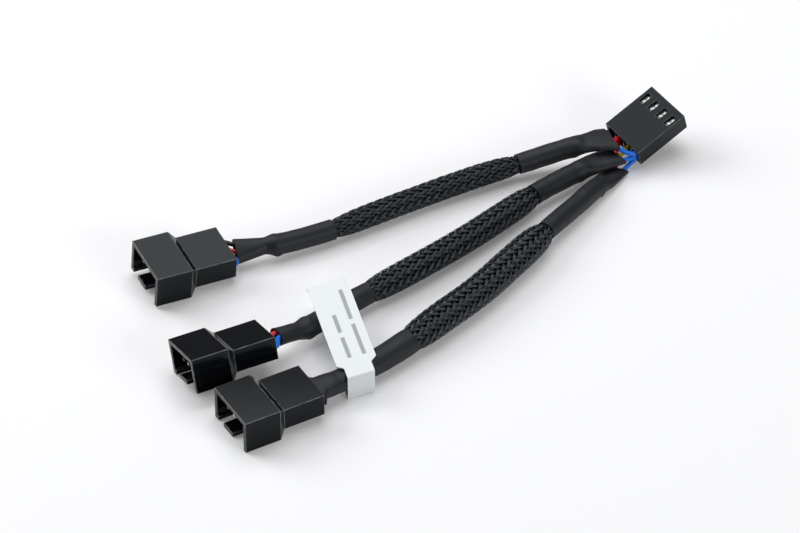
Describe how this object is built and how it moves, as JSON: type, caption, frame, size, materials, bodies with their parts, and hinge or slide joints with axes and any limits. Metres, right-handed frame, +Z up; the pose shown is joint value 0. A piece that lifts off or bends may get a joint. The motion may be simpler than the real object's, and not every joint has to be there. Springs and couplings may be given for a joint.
{
  "type": "fan splitter cable",
  "caption": "Short fan splitter lead: a keyed header socket feeds open-shroud fan plugs through braided sleeves with heat-shrink ends and a folded label.",
  "frame": {"origin": "on the surface that the lead lies on, under the middle of the box round its connectors", "axes": "+X along the lead from the fan plugs' mouths to the header socket's nose; +Z up from the surface"},
  "size_m": [0.1213, 0.0593, 0.0105],
  "materials": {
    "black_nylon": "moulded black nylon, satin",
    "heat_shrink": "shrunk black tube, matte",
    "braided_sleeve": "braided black monofilament",
    "label_paper": "white label, satin",
    "tinned_contact": "bright tin plate",
    "black_wire": "smooth insulation",
    "red_wire": "smooth insulation",
    "yellow_wire": "smooth insulation",
    "blue_wire": "smooth insulation"
  },
  "bodies": {
    "root": {"socket_housing": "black_nylon", "socket_contact_black": "tinned_contact", "socket_contact_red": "tinned_contact", "socket_contact_yellow": "tinned_contact", "socket_contact_blue": "tinned_contact", "plug_1_housing": "black_nylon", "plug_1_pin_black": "tinned_contact", "plug_1_pin_red": "tinned_contact", "plug_1_pin_blue": "tinned_contact", "plug_2_housing": "black_nylon", "plug_2_pin_black": "tinned_contact", "plug_2_pin_red": "tinned_contact", "plug_2_pin_yellow": "tinned_contact", "plug_2_pin_blue": "tinned_contact", "plug_3_housing": "black_nylon", "plug_3_pin_black": "tinned_contact", "plug_3_pin_red": "tinned_contact", "plug_3_pin_blue": "tinned_contact", "wire_1_black": "black_wire", "wire_1_red": "red_wire", "wire_1_blue": "blue_wire", "wire_2_black": "black_wire", "wire_2_red": "red_wire", "wire_2_yellow": "yellow_wire", "wire_2_blue": "blue_wire", "wire_3_black": "black_wire", "wire_3_red": "red_wire", "wire_3_blue": "blue_wire", "outer_shrink_1": "heat_shrink", "outer_shrink_2": "heat_shrink", "outer_shrink_3": "heat_shrink", "inner_shrink_1": "heat_shrink", "inner_shrink_2": "heat_shrink", "inner_shrink_3": "heat_shrink", "sleeve_1": "braided_sleeve", "sleeve_2": "braided_sleeve", "sleeve_3": "braided_sleeve", "label": "label_paper"}
  },
  "joints": []
}
